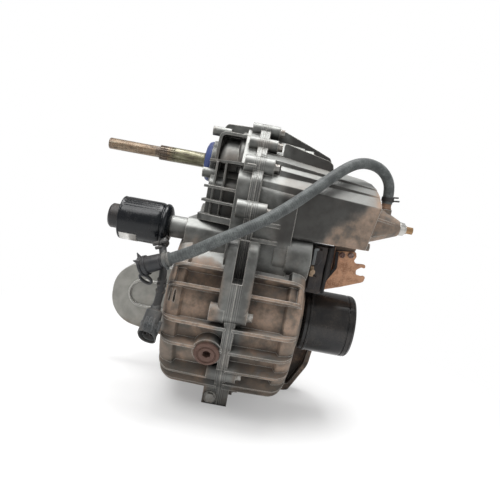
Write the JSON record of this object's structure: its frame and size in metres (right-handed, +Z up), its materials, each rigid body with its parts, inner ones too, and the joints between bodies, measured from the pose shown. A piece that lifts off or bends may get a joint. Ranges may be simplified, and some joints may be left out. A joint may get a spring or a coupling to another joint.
{
  "type": "vehicle transmission",
  "caption": "Utility-vehicle transaxle: ribbed split case, input shaft, selector drum, range gears, locking differential, solenoid and vent hose.",
  "frame": {"origin": "on the ground under the middle of the part without its hose and lead, which is in the seam plane of the case", "axes": "+X along the shafts towards the output cup, +Y away from the clevis lug, +Z up"},
  "size_m": [0.465, 0.2625, 0.415],
  "materials": {
    "case_left": "as cast, dusty",
    "case_right": "as cast, dusty",
    "seam_bolt_steel": "worn zinc",
    "mount_bolt_steel": "worn zinc",
    "mount_bolt_steel_right": "worn zinc",
    "bracket_bolt_steel": "light rust",
    "bearing_steel": "ground",
    "seal_rubber": "matt",
    "blue_seal": "matt",
    "input_steel": "handling rust",
    "gear_steel": "oiled",
    "fork_iron": "as cast",
    "ground_steel": "ground",
    "drum_steel": "oiled",
    "ground_steel_selector": "bright",
    "sleeve_steel": "bright",
    "carrier_iron": "machined casting",
    "black_bolt_steel": "black oxide",
    "bevel_steel": "oiled",
    "cup_black": "satin black",
    "cup_ring_steel": "black",
    "solenoid_black": "gloss black",
    "solenoid_cap_black": "satin",
    "fill_plug_steel": "dusty",
    "drain_plug_steel": "dusty",
    "nipple_brass": "dull",
    "hose_rubber": "fabric covered, dusty",
    "clamp_steel": "black phosphate",
    "fitting_plastic": "matt",
    "clip_plastic": "matt",
    "lead_loom": "braided loom",
    "connector_plastic": "matt",
    "switch_cap_grey": "matt",
    "switch_black": "matt",
    "bracket_rust": "rust",
    "arm_cast": "black, dusty",
    "foot_cast": "black, dusty"
  },
  "bodies": {
    "housing": {"left_case": "case_left", "right_case": "case_right", "case_bolts": "seam_bolt_steel", "arm_bolts": "mount_bolt_steel", "foot_bolts": "mount_bolt_steel_right", "bracket_bolts": "bracket_bolt_steel", "input_bearing_left": "bearing_steel", "input_bearing_right": "bearing_steel", "counter_bearing_left": "bearing_steel", "counter_bearing_right": "bearing_steel", "carrier_bearing": "bearing_steel", "output_bearing_left": "bearing_steel", "output_bearing_right": "bearing_steel", "output_seal_left": "seal_rubber", "output_seal_right": "seal_rubber", "input_seal": "blue_seal", "shift_shaft_seal": "sleeve_steel", "solenoid_body": "solenoid_black", "solenoid_cap": "solenoid_cap_black", "fill_plug": "fill_plug_steel", "drain_plug": "drain_plug_steel", "vent_nipple": "nipple_brass", "vent_hose": "hose_rubber", "hose_clamp_upper": "clamp_steel", "hose_clamp_lower": "clamp_steel", "vent_fitting": "fitting_plastic", "hose_clip": "clip_plastic", "solenoid_lead": "lead_loom", "lead_connector": "connector_plastic", "range_switch_cap": "switch_cap_grey", "range_switch": "switch_black", "cable_bracket": "bracket_rust", "left_mount_arm": "arm_cast", "right_mount_foot": "foot_cast"},
    "input": {"input_shaft": "input_steel"},
    "counter": {"counter_shaft": "gear_steel", "dog_hub": "gear_steel"},
    "high": {"high_gear": "gear_steel"},
    "low": {"low_gear": "gear_steel"},
    "dog": {"dog_collar": "gear_steel"},
    "selector": {"shift_drum": "drum_steel", "shift_shaft": "ground_steel_selector"},
    "shifter": {"shift_rail": "ground_steel", "shift_fork": "fork_iron"},
    "carrier": {"diff_carrier": "carrier_iron", "ring_gear": "gear_steel", "ring_gear_bolts": "black_bolt_steel", "spider_pin": "ground_steel"},
    "spider_top": {"spider_gear_top": "bevel_steel"},
    "spider_bottom": {"spider_gear_bottom": "bevel_steel"},
    "left_output": {"side_gear_left": "bevel_steel", "left_output_shaft": "ground_steel"},
    "collar": {"lock_collar": "gear_steel"},
    "right_output": {"side_gear_right": "bevel_steel", "right_output_cup": "cup_black", "cup_ring": "cup_ring_steel"},
    "plunger": {"lock_rod": "ground_steel", "lock_fork": "fork_iron"}
  },
  "joints": [
    {"name": "input_spin", "type": "hinge", "parent": "housing", "child": "input", "pos_m": [0, 0.03, 0.34948], "axis": [1, 0, 0], "continuous": true},
    {"name": "high_gear_spin", "type": "hinge", "parent": "housing", "child": "high", "pos_m": [0, 0.03, 0.25198], "axis": [1, 0, 0], "continuous": true},
    {"name": "low_gear_spin", "type": "hinge", "parent": "housing", "child": "low", "pos_m": [0, 0.03, 0.25198], "axis": [1, 0, 0], "continuous": true},
    {"name": "axle_spin", "type": "hinge", "parent": "housing", "child": "carrier", "pos_m": [0, 0, 0.142], "axis": [1, 0, 0], "continuous": true},
    {"name": "counter_spin", "type": "hinge", "parent": "housing", "child": "counter", "pos_m": [0, 0.03, 0.25198], "axis": [1, 0, 0], "continuous": true},
    {"name": "shift_turn", "type": "hinge", "parent": "housing", "child": "selector", "pos_m": [0.1, -0.02, 0.302], "axis": [1, 0, 0], "range_deg": [-35, 35]},
    {"name": "fork_slide", "type": "slide", "parent": "housing", "child": "shifter", "axis": [1, 0, 0], "range_m": [-0.007, 0.007]},
    {"name": "dog_slide", "type": "slide", "parent": "counter", "child": "dog", "axis": [1, 0, 0], "range_m": [-0.007, 0.007]},
    {"name": "diff_action", "type": "hinge", "parent": "carrier", "child": "left_output", "pos_m": [0.018, 0, 0.142], "axis": [1, 0, 0], "continuous": true},
    {"name": "right_spin", "type": "hinge", "parent": "carrier", "child": "right_output", "pos_m": [0.018, 0, 0.142], "axis": [1, 0, 0], "continuous": true},
    {"name": "spider_top_spin", "type": "hinge", "parent": "carrier", "child": "spider_top", "pos_m": [0.018, 0, 0.142], "axis": [0, 0, 1], "continuous": true},
    {"name": "spider_bottom_spin", "type": "hinge", "parent": "carrier", "child": "spider_bottom", "pos_m": [0.018, 0, 0.142], "axis": [0, 0, 1], "continuous": true},
    {"name": "lock_slide", "type": "slide", "parent": "housing", "child": "plunger", "axis": [1, 0, 0], "range_m": [0, 0.006]},
    {"name": "collar_slide", "type": "slide", "parent": "left_output", "child": "collar", "axis": [1, 0, 0], "range_m": [0, 0.006]}
  ],
  "couplings": [
    {"joint": "high_gear_spin", "follows": "input_spin", "ratio": -0.77273},
    {"joint": "low_gear_spin", "follows": "input_spin", "ratio": -0.44444},
    {"joint": "counter_spin", "follows": "axle_spin", "ratio": -4.4286},
    {"joint": "fork_slide", "follows": "shift_turn", "m_per_rad": -0.011459},
    {"joint": "dog_slide", "follows": "shift_turn", "m_per_rad": -0.011459},
    {"joint": "right_spin", "follows": "diff_action", "ratio": -1},
    {"joint": "spider_top_spin", "follows": "diff_action", "ratio": 1.6},
    {"joint": "spider_bottom_spin", "follows": "diff_action", "ratio": -1.6},
    {"joint": "collar_slide", "follows": "lock_slide", "ratio": 1}
  ]
}
